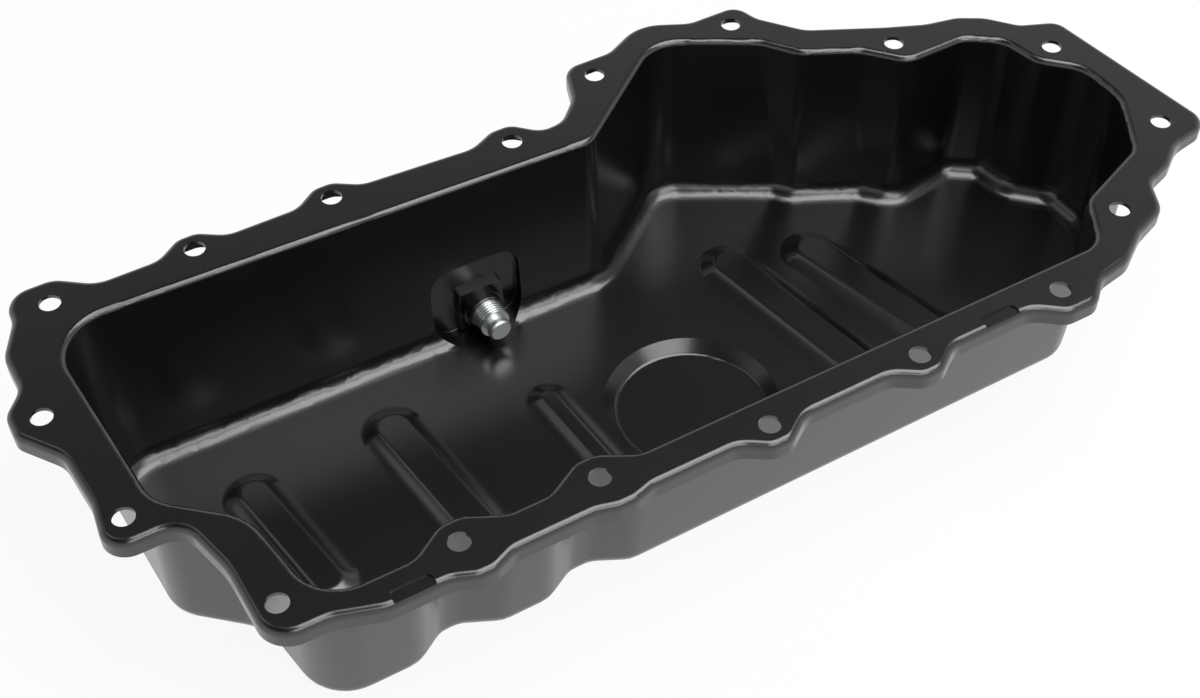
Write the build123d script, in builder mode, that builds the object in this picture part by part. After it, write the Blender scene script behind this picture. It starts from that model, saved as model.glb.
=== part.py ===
from build123d import *
import os
from math import atan, cos, degrees, radians, sin, tan

os.makedirs("parts", exist_ok=True)

# Engine oil pan, deep-drawn from one sheet. +Z is up and the open side is up,
# the gasket face is z = 0, +X runs along the front rail, +Y to the back wall.

# ---- sheet and press tooling
sheet = 1.6
depth = 80.0
floor_radius = 9.0
mouth_radius = 3.0
lip_height = 8.0
lip_radius = 3.0

# ---- bolt holes in the flange
bolt_radius = 4.5
back_row_y = 98.5
back_row_x = (-219.5, -157.5, -95.5)
front_row_y = -101.0
front_row_x = (135.5, 64.5, -6.5)
bulge_row_y = 113.0
bulge_row_x = (42.5, 116.5)
notch_row_y = -90.5
notch_row_x = (-75.0, -133.5)
other_bolts = [(-12.0, 91.5), (174.0, 63.0), (235.5, 24.0), (242.5, -42.0),
               (188.5, -76.5), (-200.5, -82.0), (-233.0, -19.0), (-242.5, 42.0)]

# ---- ears of the flange around the bolts of the straight rows
ear_reach = 10.0
ear_tip = 4.5
ear_foot = 15.5
edge_margin = 2.5
ear_blend = 12.0
ear_round = 9.0

# ---- corners of the drawn tub's mouth: x, y, radius, clockwise from above
mouth = [(-226, 84.5, 22), (19, 74.5, 12), (79, 120.5, 20), (121, 95.5, 14), (133, 79.5, 14),
         (158, 66.5, 13), (173, 49.5, 11), (205, 49.5, 11), (219.5, 38.5, 11), (223, 20, 14),
         (238, 5, 16), (238.5, -19, 18), (220.5, -49, 14), (181, -64, 13), (167, -87.5, 14),
         (-56, -87.5, 14), (-71, -79, 12), (-80, -79, 12), (-95, -87.5, 14), (-112, -87.5, 14),
         (-127, -79.5, 12), (-137, -79.5, 12), (-151, -88.5, 14), (-187, -88.5, 19),
         (-193.5, -41, 26), (-221, -16, 18)]

# ---- the same corners where the walls meet the floor; the end walls stand almost upright
floor = [(-223.5, 71.2, 24), (17.5, 67, 17), (70.8, 107.9, 20), (124.4, 76, 12), (128.5, 70.6, 12),
         (159, 54.7, 13), (169.5, 42.9, 13), (204, 48.3, 11), (218.6, 37.4, 11), (222.3, 19.9, 14),
         (237.2, 4.8, 16), (237.7, -18.8, 18), (219.9, -48.4, 14), (180.3, -63.4, 13), (172, -78.3, 14),
         (-54, -79.2, 14), (-68.5, -71.8, 14), (-79, -71.8, 14), (-92.5, -79.3, 14), (-113, -79.3, 14),
         (-129, -71.7, 13), (-137.5, -71.7, 13), (-150.5, -80, 14), (-188.2, -80, 20),
         (-194.2, -36.5, 27), (-221.3, -11.9, 18)]

# ---- floor: round sump recess and pressed-up ribs
recess_x, recess_y = 14.6, -18.9
recess_radius = 39.0
recess_depth = 5.0
recess_slope = 48.0
recess_blend = 3.0
rib_height = 4.0
rib_flank = 8.0
rib_blend = 5.0
# each rib: far end x, y, length, width, heading from -Y towards +X
ribs = [(-174.0, 42.6, 84.0, 28.0, 8.0), (-107.3, 46.6, 102.0, 30.0, 6.0),
        (-40.0, 24.6, 80.0, 22.0, 4.0), (72.5, 58.6, 112.0, 30.0, 10.0),
        (110.3, 46.6, 104.0, 30.0, 14.0)]

# ---- pressed pockets across the front edge
pocket_places = [(-156.9, -100.6), (105.1, -100.6)]
pocket_length = 17.0
pocket_width = 7.0
pocket_depth = 0.8
pocket_corner = 2.6

# ---- drain: upright pad on the back wall, weld nut, plug and washer
drain_x = -42.0
drain_rise = 12.0
pad_x = -44.0
pad_face = 73.0
pad_width = 44.0
pad_height = 38.0
pad_corner = 12.0
pad_blend = 1.0
thread_radius = 7.0
thread_clearance = 0.08
nut_width = 22.0
nut_plate = 3.0
nut_collar_radius = 10.0
nut_collar_step = 8.6
nut_collar = 3.0
nut_thickness = 8.5
washer_thickness = 1.5
washer_radius = 11.5
washer_bore = 7.2
head_across_flats = 19.0
head_height = 7.0
head_flange_radius = 12.0
head_flange = 2.5
plug_body = 8.0
plug_groove = 2.4
plug_groove_radius = 4.6
plug_pilot = 3.0
plug_pilot_radius = 5.4

drain_z = -depth + drain_rise
drain_bore = thread_radius + 0.6
rib_slope = degrees(atan(rib_flank / rib_height))


def inset(corners, distance):
    """Moves every side of a clockwise outline inwards and keeps its corner arcs concentric."""
    moved = []
    count = len(corners)
    for i in range(count):
        x, y, radius = corners[i]
        before = Vector(x, y) - Vector(*corners[i - 1][:2])
        after = Vector(*corners[(i + 1) % count][:2]) - Vector(x, y)
        before = before.normalized()
        after = after.normalized()
        share = distance / (1 + before.X * after.X + before.Y * after.Y)
        turn = before.X * after.Y - before.Y * after.X
        grow = -distance if turn < 0 else distance
        moved.append((x + (before.Y + after.Y) * share, y - (before.X + after.X) * share, radius + grow))
    return moved


def ear(x, row, side):
    """Corners of one bolt ear, in the outline's clockwise order."""
    foot = row + side * edge_margin
    tip = row + side * ear_reach
    return [(x - side * ear_foot, foot, ear_blend), (x - side * ear_tip, tip, ear_round),
            (x + side * ear_tip, tip, ear_round), (x + side * ear_foot, foot, ear_blend)]


def outline(corners):
    return FilletPolyline([c[:2] for c in corners], radius=[c[2] for c in corners], close=True)


front_edge = front_row_y - edge_margin
flange = [(-234.8, 112.3, 11), (-213.5, 112.3, 12), (-199, back_row_y + edge_margin, 14)]
flange += ear(back_row_x[1], back_row_y, 1) + ear(back_row_x[2], back_row_y, 1)
flange += [(-29, 97.6, 14), (-17, 103.2, 9), (-7, 103.2, 9), (3.5, 92.5, 9), (14, 93.5, 12),
           (26, 105, 20), (33.5, 125, 9), (57, 125, 14), (79, 136, 22), (101, 125, 14),
           (127.3, 125, 9), (130.8, 111.8, 12), (145.3, 93.2, 14), (178, 76.5, 30), (196, 68.6, 25),
           (212, 65.2, 16), (223.5, 58.3, 20), (234, 45.5, 10), (251.2, 38.2, 9), (262, -52.5, 9),
           (240.5, -55.8, 18), (227.5, -64.7, 14), (213, -69.3, 11), (205.3, -84.8, 11), (188, -91, 14),
           (172, -101.3, 16), (156, -104, 10), (145.5, -113, 9), (131, -113, 9),
           (119, front_edge, 12)]
flange += ear(front_row_x[1], front_row_y, -1) + ear(front_row_x[2], front_row_y, -1)
flange += [(-59, front_edge, 10), (-68, -106, 10), (-75, -106, 10), (-84, front_edge, 10),
           (-117.5, front_edge, 10), (-127, -107.5, 9), (-134, -107.5, 9), (-143.5, front_edge, 10),
           (-168, front_edge, 20), (-187, -97, 14), (-210, -96.5, 13), (-210, -58, 40),
           (-216, -31.5, 11), (-245, -31.5, 10), (-241, -6, 20), (-242.3, 20, 14), (-254.6, 38, 8),
           (-254.4, 50.5, 9), (-245.2, 61, 12), (-245, 80.5, 14), (-235.8, 97.5, 14)]

# ---- flange block with its rolled edge, and the hollow under it
with BuildPart() as flange_block:
    with BuildSketch(Plane.XY.offset(-lip_height)):
        with BuildLine():
            outline(flange)
        make_face()
    extrude(amount=lip_height)
    fillet(flange_block.faces().sort_by(Axis.Z)[-1].edges(), radius=lip_radius)

with BuildPart() as flange_hollow:
    with BuildSketch(Plane.XY.offset(-lip_height)):
        with BuildLine():
            outline(inset(flange, sheet))
        make_face()
    extrude(amount=lip_height - sheet)
    fillet(flange_hollow.faces().sort_by(Axis.Z)[-1].edges(), radius=lip_radius - sheet)

# ---- drawn tub: outside and inside, one sheet thickness apart
outer_mouth = inset(mouth, -sheet)
outer_floor = inset(floor, -sheet)

with BuildPart() as tub_outside:
    with BuildSketch(Plane.XY.offset(-sheet / 2)):
        with BuildLine():
            outline(outer_mouth)
        make_face()
    with BuildSketch(Plane.XY.offset(-depth - sheet)):
        with BuildLine():
            outline(outer_floor)
        make_face()
    loft(ruled=True)
    fillet(tub_outside.faces().sort_by(Axis.Z)[0].edges(), radius=floor_radius + sheet)

with BuildPart() as tub_inside:
    with BuildSketch(Plane.XY):
        with BuildLine():
            outline(mouth)
        make_face()
    with BuildSketch(Plane.XY.offset(-depth)):
        with BuildLine():
            outline(floor)
        make_face()
    loft(ruled=True)
    fillet(tub_inside.faces().sort_by(Axis.Z)[0].edges(), radius=floor_radius)

# ---- upright drain pad, pressed out of the back wall
with BuildPart() as pad_outside:
    with BuildSketch(Plane.XZ.offset(-pad_face - sheet)):
        with Locations((pad_x, pad_height / 2 - depth)):
            RectangleRounded(pad_width + 2 * sheet, pad_height + 2 * sheet, pad_corner)
    extrude(amount=20)
    fillet(pad_outside.faces().sort_by(Axis.Y)[-1].edges(), radius=pad_blend + sheet)

with BuildPart() as pad_inside:
    with BuildSketch(Plane.XZ.offset(-pad_face)):
        with Locations((pad_x, pad_height / 2 - depth)):
            RectangleRounded(pad_width, pad_height, pad_corner - sheet)
    extrude(amount=20)
    fillet(pad_inside.faces().sort_by(Axis.Y)[-1].edges(), radius=pad_blend)

with BuildPart() as oil_pan:
    add(flange_block.part)
    add(flange_hollow.part, mode=Mode.SUBTRACT)
    add(tub_outside.part)
    under_bend = oil_pan.faces().filter_by(Axis.Z).sort_by(lambda f: abs(f.center().Z + sheet))[0]
    fillet(under_bend.inner_wires()[0].edges(), radius=mouth_radius - sheet)
    add(pad_outside.part)
    add(tub_inside.part, mode=Mode.SUBTRACT)
    add(pad_inside.part, mode=Mode.SUBTRACT)
    gasket_face = oil_pan.faces().sort_by(Axis.Z)[-1]
    fillet(gasket_face.inner_wires()[0].edges(), radius=mouth_radius)
print("pan", oil_pan.part.is_valid, len(oil_pan.part.solids()))

# ---- floor forms, each as one shape above and the same shape a sheet lower
with BuildPart() as recess_inside:
    with BuildSketch(Plane.XY.offset(-depth)):
        with Locations((recess_x, recess_y)):
            Circle(recess_radius)
    extrude(amount=-recess_depth, taper=recess_slope)
    fillet(recess_inside.faces().sort_by(Axis.Z)[0].edges(), radius=recess_blend)

recess_wall = sheet / cos(radians(recess_slope)) - sheet * tan(radians(recess_slope))
with BuildPart() as recess_outside:
    with BuildSketch(Plane.XY.offset(-depth - sheet)):
        with Locations((recess_x, recess_y)):
            Circle(recess_radius + recess_wall)
    extrude(amount=-recess_depth, taper=recess_slope)
    fillet(recess_outside.faces().sort_by(Axis.Z)[0].edges(), radius=recess_blend + sheet)

with BuildPart() as rib_shapes:
    for x, y, length, width, heading in ribs:
        side, ahead = sin(radians(heading)), -cos(radians(heading))
        with BuildSketch(Plane.XY.offset(-depth)):
            with Locations(Location((x + side * length / 2, y + ahead * length / 2, 0), (0, 0, heading))):
                SlotOverall(length, width, rotation=90)
        extrude(amount=rib_height, taper=rib_slope)
    crowns = rib_shapes.faces().filter_by(Axis.Z).group_by(Axis.Z)[-1]
    fillet(crowns.edges(), radius=rib_blend)

bolt_places = [(x, back_row_y) for x in back_row_x] + [(x, front_row_y) for x in front_row_x]
bolt_places += [(x, bulge_row_y) for x in bulge_row_x] + [(x, notch_row_y) for x in notch_row_x]
bolt_places += other_bolts

with BuildPart() as formed_pan:
    add(oil_pan.part)
    add(recess_outside.part)
    add(recess_inside.part, mode=Mode.SUBTRACT)
    add(Pos(0, 0, -sheet) * rib_shapes.part, mode=Mode.SUBTRACT)
    add(rib_shapes.part)
    with BuildSketch(Plane.XY):
        with Locations(*bolt_places):
            Circle(bolt_radius)
    extrude(amount=-2 * sheet, mode=Mode.SUBTRACT)
    with BuildSketch(Plane.XY):
        with Locations(*pocket_places):
            RectangleRounded(pocket_length, pocket_width, pocket_corner)
    extrude(amount=-pocket_depth, mode=Mode.SUBTRACT)
    with BuildSketch(Plane.XZ.offset(-pad_face - 2 * sheet)):
        with Locations((drain_x, drain_z)):
            Circle(drain_bore)
    extrude(amount=3 * sheet, mode=Mode.SUBTRACT)
    floor_face = formed_pan.faces().filter_by(lambda f: abs(f.center().Z + depth) < 0.01).sort_by()[-1]
    for loop in floor_face.inner_wires():
        round_one = abs(loop.center().X - recess_x) < 1 and abs(loop.center().Y - recess_y) < 1
        fillet(loop.edges(), radius=recess_blend + 1 if round_one else rib_blend)
    under_face = formed_pan.faces().filter_by(lambda f: abs(f.center().Z + depth + sheet) < 0.01).sort_by()[-1]
    for loop in under_face.inner_wires():
        round_one = abs(loop.center().X - recess_x) < 1 and abs(loop.center().Y - recess_y) < 1
        fillet(loop.edges(), radius=recess_blend if round_one else rib_blend - sheet)
print("formed", formed_pan.part.is_valid, len(formed_pan.part.solids()), formed_pan.part.bounding_box())
formed_pan.part.label = "oil_pan"
export_step(formed_pan.part, "parts/oil_pan.step")

# ---- weld nut on the inside of the pad
with BuildPart() as drain_nut:
    with BuildSketch(Plane.XZ.offset(-pad_face)):
        with Locations((drain_x, drain_z)):
            RectangleRounded(nut_width, nut_width, 1.5)
    extrude(amount=nut_plate)
    with BuildSketch(Plane.XZ.offset(-pad_face)):
        with Locations((drain_x, drain_z)):
            Circle(nut_collar_radius)
    extrude(amount=nut_plate + nut_collar)
    with BuildSketch(Plane.XZ.offset(-pad_face)):
        with Locations((drain_x, drain_z)):
            Circle(nut_collar_step)
    extrude(amount=nut_thickness)
    chamfer(drain_nut.faces().sort_by(Axis.Y)[0].outer_wire().edges(), length=0.6)
    with BuildSketch(Plane.XZ.offset(-pad_face)):
        with Locations((drain_x, drain_z)):
            Circle(thread_radius + thread_clearance)
    extrude(amount=nut_thickness, mode=Mode.SUBTRACT)
drain_nut.part.label = "drain_nut"
export_step(drain_nut.part, "parts/drain_nut.step")

# ---- sealing washer and drain plug, on the outside
seat = pad_face + sheet
with BuildPart() as drain_washer:
    with BuildSketch(Plane.XZ.offset(-seat - washer_thickness)):
        with Locations((drain_x, drain_z)):
            Circle(washer_radius)
            Circle(washer_bore, mode=Mode.SUBTRACT)
    extrude(amount=washer_thickness)
drain_washer.part.label = "drain_washer"
export_step(drain_washer.part, "parts/drain_washer.step")

head = seat + washer_thickness
tip = pad_face - nut_thickness - plug_body - plug_groove - plug_pilot
with BuildPart() as drain_plug:
    with BuildSketch(Plane.XZ.offset(-tip)):
        with Locations((drain_x, drain_z)):
            Circle(plug_pilot_radius)
    extrude(amount=-plug_pilot)
    chamfer(drain_plug.faces().sort_by(Axis.Y)[0].edges(), length=0.8)
    with BuildSketch(Plane.XZ.offset(-tip - plug_pilot)):
        with Locations((drain_x, drain_z)):
            Circle(plug_groove_radius)
    extrude(amount=-plug_groove)
    with BuildSketch(Plane.XZ.offset(-tip - plug_pilot - plug_groove)):
        with Locations((drain_x, drain_z)):
            Circle(thread_radius)
    extrude(amount=tip + plug_pilot + plug_groove - head)
    with BuildSketch(Plane.XZ.offset(-head)):
        with Locations((drain_x, drain_z)):
            Circle(head_flange_radius)
    extrude(amount=-head_flange)
    with BuildSketch(Plane.XZ.offset(-head - head_flange)):
        with Locations((drain_x, drain_z)):
            RegularPolygon(head_across_flats / 2, 6, major_radius=False)
    extrude(amount=-head_height)
drain_plug.part.label = "drain_plug"
export_step(drain_plug.part, "parts/drain_plug.step")
for piece in (drain_nut, drain_washer, drain_plug):
    print(piece.part.label, piece.part.is_valid, len(piece.part.solids()), piece.part.bounding_box())
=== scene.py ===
import math

import bmesh
import bpy
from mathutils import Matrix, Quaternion, Vector


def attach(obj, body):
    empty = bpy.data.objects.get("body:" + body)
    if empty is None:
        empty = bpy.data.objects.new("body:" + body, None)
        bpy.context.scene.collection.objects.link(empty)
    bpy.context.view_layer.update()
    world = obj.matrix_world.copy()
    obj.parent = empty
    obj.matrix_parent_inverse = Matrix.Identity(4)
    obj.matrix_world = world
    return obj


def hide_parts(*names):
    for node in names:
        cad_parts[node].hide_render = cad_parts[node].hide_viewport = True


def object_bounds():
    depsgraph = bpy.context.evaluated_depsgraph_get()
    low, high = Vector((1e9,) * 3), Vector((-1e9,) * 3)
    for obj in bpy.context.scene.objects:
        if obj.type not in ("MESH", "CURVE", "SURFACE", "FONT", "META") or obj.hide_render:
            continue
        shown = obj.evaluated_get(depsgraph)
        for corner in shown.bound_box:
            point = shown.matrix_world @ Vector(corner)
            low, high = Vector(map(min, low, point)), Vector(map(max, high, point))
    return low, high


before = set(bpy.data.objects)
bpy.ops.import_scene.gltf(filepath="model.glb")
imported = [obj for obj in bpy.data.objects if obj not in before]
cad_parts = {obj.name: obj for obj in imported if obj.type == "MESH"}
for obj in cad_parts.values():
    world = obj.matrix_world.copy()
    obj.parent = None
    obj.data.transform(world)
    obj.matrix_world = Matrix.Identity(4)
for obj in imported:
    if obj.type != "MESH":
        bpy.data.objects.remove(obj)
cadBox = [list(corner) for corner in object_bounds()]
print("frame loaded")

mm = 0.001
scene = bpy.context.scene
scene.view_settings.view_transform = "Standard"


class Value:
    # a socket that adds, subtracts and multiplies like a number
    def __init__(self, nodes, socket):
        self.nodes, self.socket = nodes, socket

    def beside(self, name):  # another output of the same node
        return Value(self.nodes, self.socket.node.outputs[name])

    def maths(self, operation, other, swapped=False):
        first, second = (other, self) if swapped else (self, other)
        return self.nodes.add("ShaderNodeMath", {"operation": operation}, {0: first, 1: second})

    def __add__(self, other):
        return self.maths("ADD", other)

    def __radd__(self, other):
        return self.maths("ADD", other, True)

    def __sub__(self, other):
        return self.maths("SUBTRACT", other)

    def __rsub__(self, other):
        return self.maths("SUBTRACT", other, True)

    def __mul__(self, other):
        return self.maths("MULTIPLY", other)

    def __rmul__(self, other):
        return self.maths("MULTIPLY", other, True)


class Nodes:
    # a node tree that grows by one method: kind, settings, then values or links of the sockets
    def __init__(self, tree):
        self.tree = tree
        tree.nodes.clear()

    def add(self, kind, settings=None, sockets=None, out=0):
        node = self.tree.nodes.new(kind)
        for name, setting in (settings or {}).items():
            if name == "stops":
                ramp = node.color_ramp
                while len(ramp.elements) < len(setting):
                    ramp.elements.new(0.5)
                for element, (place, colour) in zip(ramp.elements, setting):
                    element.position, element.color = place, colour
            else:
                setattr(node, name, setting)
        for key, given in (sockets or {}).items():
            if isinstance(given, Value):
                self.tree.links.new(given.socket, node.inputs[key])
            else:
                node.inputs[key].default_value = given
        return Value(self, node.outputs[out]) if node.outputs else node


def newMaterial(name):
    material = bpy.data.materials.new(name)
    material.use_nodes = True
    return material, Nodes(material.node_tree)


def blackDipCoat():
    coat = {"colour": (0.0025, 0.0025, 0.0027, 1), "specular": 1.0, "roughness": 0.25,
            "drift": 0.05, "driftScale": 14.0,
            "peelScale": 700.0, "peelStrength": 0.05, "peelDepth": 0.5 * mm}
    material, nodes = newMaterial("blackDipCoat")
    place = nodes.add("ShaderNodeTexCoord", out=3)  # Object coordinates
    drift = nodes.add("ShaderNodeTexNoise", {}, {
        "Vector": place, "Scale": coat["driftScale"], "Detail": 3.0})
    peel = nodes.add("ShaderNodeTexNoise", {}, {
        "Vector": place, "Scale": coat["peelScale"], "Detail": 2.0})
    bump = nodes.add("ShaderNodeBump", {}, {
        "Height": peel, "Strength": coat["peelStrength"], "Distance": coat["peelDepth"]})
    shader = nodes.add("ShaderNodeBsdfPrincipled", {}, {
        "Base Color": coat["colour"], "Specular IOR Level": coat["specular"],
        "Roughness": coat["roughness"] + (drift - 0.5) * coat["drift"], "Normal": bump})
    nodes.add("ShaderNodeOutputMaterial", {}, {"Surface": shader})
    return material


def brightZinc():
    zinc = {"colour": (0.80, 0.84, 0.83, 1), "roughness": 0.38, "cloud": 0.16, "cloudScale": 260.0}
    thread = {"pitch": 1.5 * mm, "depth": 0.6 * mm, "from": 57.0 * mm, "to": 75.0 * mm,
              "axisX": -42.0 * mm, "axisZ": -68.0 * mm}  # the plug lies along Y
    material, nodes = newMaterial("brightZinc")
    place = nodes.add("ShaderNodeTexCoord", out=3)  # Object coordinates
    cloud = nodes.add("ShaderNodeTexNoise", {}, {
        "Vector": place, "Scale": zinc["cloudScale"], "Detail": 3.0})
    across = nodes.add("ShaderNodeSeparateXYZ", {}, {"Vector": place})
    along, up = across.beside("Y"), across.beside("Z")
    turn = (up - thread["axisZ"]).maths("ARCTAN2", across - thread["axisX"])
    ridge = (along * (1 / thread["pitch"]) + turn * (0.5 / math.pi)).maths("PINGPONG", 0.5)
    shank = along.maths("GREATER_THAN", thread["from"]) * along.maths("LESS_THAN", thread["to"])
    bump = nodes.add("ShaderNodeBump", {}, {
        "Height": ridge * shank, "Strength": 1.0, "Distance": thread["depth"]})
    shader = nodes.add("ShaderNodeBsdfPrincipled", {}, {
        "Base Color": zinc["colour"], "Metallic": 1.0,
        "Roughness": zinc["roughness"] + (cloud - 0.5) * zinc["cloud"], "Normal": bump})
    nodes.add("ShaderNodeOutputMaterial", {}, {"Surface": shader})
    return material


def softAluminium():
    aluminium = {"colour": (0.72, 0.72, 0.73, 1), "roughness": 0.38}
    material, nodes = newMaterial("softAluminium")
    shader = nodes.add("ShaderNodeBsdfPrincipled", {}, {
        "Base Color": aluminium["colour"], "Metallic": 1.0, "Roughness": aluminium["roughness"]})
    nodes.add("ShaderNodeOutputMaterial", {}, {"Surface": shader})
    return material


coatFinish, zincFinish, aluminiumFinish = blackDipCoat(), brightZinc(), softAluminium()
print("finishes made")


# each piece keeps the solid's own shape, joined and smoothed; where an edge break is asked for,
# the bevel is clamped at the solid's smallest facets, so only about 0.02 mm of it shows
def smoothSkin(name, node, body, finish, skin):
    mergeDistance = 0.001 * mm
    levelNormal, strongInfluence = 0.99999, 16384  # the weight that Weighted Normal reads as strong
    breakSegments, breakAngle = 2, math.radians(30)
    bm = bmesh.new()
    bm.from_mesh(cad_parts[node].data)
    bmesh.ops.remove_doubles(bm, verts=bm.verts, dist=mergeDistance)
    for face in bm.faces:
        face.smooth = True
        face.material_index = 0
    for edge in bm.edges:
        joined = len(edge.link_faces) == 2
        edge.smooth = joined and edge.calc_face_angle() < math.radians(skin["smoothBelow"])
    influence = bm.faces.layers.int.new("__mod_weightednormals_faceweight")
    for face in bm.faces:  # level faces keep their own normal, the bends follow them
        face[influence] = strongInfluence if abs(face.normal.z) > levelNormal else 0
    mesh = bpy.data.meshes.new(name)
    bm.to_mesh(mesh)
    bm.free()
    mesh.materials.append(finish)
    piece = bpy.data.objects.new(name, mesh)
    scene.collection.objects.link(piece)
    if skin["edgeBreak"]:
        broken = piece.modifiers.new("brokenEdges", "BEVEL")
        broken.width, broken.segments = skin["edgeBreak"], breakSegments
        broken.limit_method, broken.angle_limit = "ANGLE", breakAngle
    even = piece.modifiers.new("evenNormals", "WEIGHTED_NORMAL")
    even.mode, even.keep_sharp, even.use_face_influence = "FACE_AREA_WITH_ANGLE", True, True
    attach(piece, body)
    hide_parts(node)


panSkin = {"smoothBelow": 28, "edgeBreak": 0}
smoothSkin("pressedPan", "oil_pan", "pan", coatFinish, panSkin)

nutSkin = {"smoothBelow": 28, "edgeBreak": 0.8 * mm}
smoothSkin("weldNut", "drain_nut", "pan", coatFinish, nutSkin)

washerSkin = {"smoothBelow": 28, "edgeBreak": 0}
smoothSkin("sealWasher", "drain_washer", "plug", aluminiumFinish, washerSkin)

plugSkin = {"smoothBelow": 28, "edgeBreak": 0.3 * mm}
smoothSkin("drainPlug", "drain_plug", "plug", zincFinish, plugSkin)
print("pieces dressed")


def paleFloor():
    paper = {"size": 9.0, "colour": (0.86, 0.86, 0.86, 1), "whiteShare": 0.92, "drop": 0.2 * mm}
    material, nodes = newMaterial("palePaper")
    seen = nodes.add("ShaderNodeLightPath")  # Is Camera Ray
    glossy, through = seen.beside("Is Glossy Ray"), seen.beside("Is Transmission Ray")
    shown = (seen + glossy + through) * paper["whiteShare"]
    matt = nodes.add("ShaderNodeBsdfDiffuse", {}, {"Color": paper["colour"]})
    white = nodes.add("ShaderNodeEmission", {}, {"Color": (1, 1, 1, 1), "Strength": 1.0})
    mixed = nodes.add("ShaderNodeMixShader", {}, {0: shown, 1: matt, 2: white})
    nodes.add("ShaderNodeOutputMaterial", {}, {"Surface": mixed})
    bm = bmesh.new()
    bmesh.ops.create_grid(bm, x_segments=1, y_segments=1, size=paper["size"] / 2)
    bmesh.ops.translate(bm, verts=bm.verts, vec=(0, 0, cadBox[0][2] - paper["drop"]))
    mesh = bpy.data.meshes.new("floor")
    bm.to_mesh(mesh)
    bm.free()
    mesh.materials.append(material)
    floor = bpy.data.objects.new("floor", mesh)
    scene.collection.objects.link(floor)


def softLamp(name, place, aim, size, power):
    lamp = bpy.data.lights.new(name, "AREA")
    lamp.shape = "RECTANGLE"
    lamp.size, lamp.size_y, lamp.energy = size[0], size[1], power
    holder = bpy.data.objects.new(name, lamp)
    scene.collection.objects.link(holder)
    holder.location = place
    holder.rotation_euler = (Vector(aim) - Vector(place)).to_track_quat("-Z", "Y").to_euler()


paleFloor()
lamps = {
    "overhead": {"place": (0.58, -0.26, 1.6), "aim": (0.58, -0.26, 0), "size": (1.4, 1.22), "power": 26},
    "highFront": {"place": (0.22, -1.60, 1.70), "aim": (0.02, 0, 0), "size": (1.9, 0.7), "power": 17},
    "backLeft": {"place": (-0.62, 0.72, 1.35), "aim": (-0.05, 0, 0), "size": (0.6, 0.6), "power": 1.0},
}
for name, lamp in lamps.items():
    softLamp(name, lamp["place"], lamp["aim"], lamp["size"], lamp["power"])

# the air is pale near the horizon and dark overhead; each pair is a height from 0 to 1 and its grey
air = {"strength": 1.0,
       "greys": ((0.0, 0.92), (0.45, 0.76), (0.62, 0.32), (0.73, 0.06), (1.0, 0.03))}
world = bpy.data.worlds.new("studioAir")
scene.world = world
world.use_nodes = True
airNodes = Nodes(world.node_tree)
heading = airNodes.add("ShaderNodeTexCoord", out=0)
height = airNodes.add("ShaderNodeSeparateXYZ", {}, {"Vector": heading}, out=2)
airStops = [(place, (grey, grey, grey, 1)) for place, grey in air["greys"]]
airColour = airNodes.add("ShaderNodeValToRGB", {"stops": airStops}, {"Fac": height})
backdrop = airNodes.add("ShaderNodeBackground", {}, {"Color": airColour, "Strength": air["strength"]})
airNodes.add("ShaderNodeOutputWorld", {}, {"Surface": backdrop})

shot = {"lens": 56.1, "sensorWidth": 36.0, "roll": 0.3,
        "place": (-0.2985, -0.4645, 0.5365), "aim": (-0.0421, -0.0349, 0.0)}
camera = bpy.data.cameras.new("camera")
camera.lens, camera.sensor_width = shot["lens"], shot["sensorWidth"]
cameraObject = bpy.data.objects.new("camera", camera)
scene.collection.objects.link(cameraObject)
cameraObject.rotation_mode = "QUATERNION"
cameraObject.location = shot["place"]
facing = (Vector(shot["aim"]) - Vector(shot["place"])).to_track_quat("-Z", "Y")
cameraObject.rotation_quaternion = facing @ Quaternion((0, 0, 1), math.radians(shot["roll"]))
scene.camera = cameraObject
print("studio set")
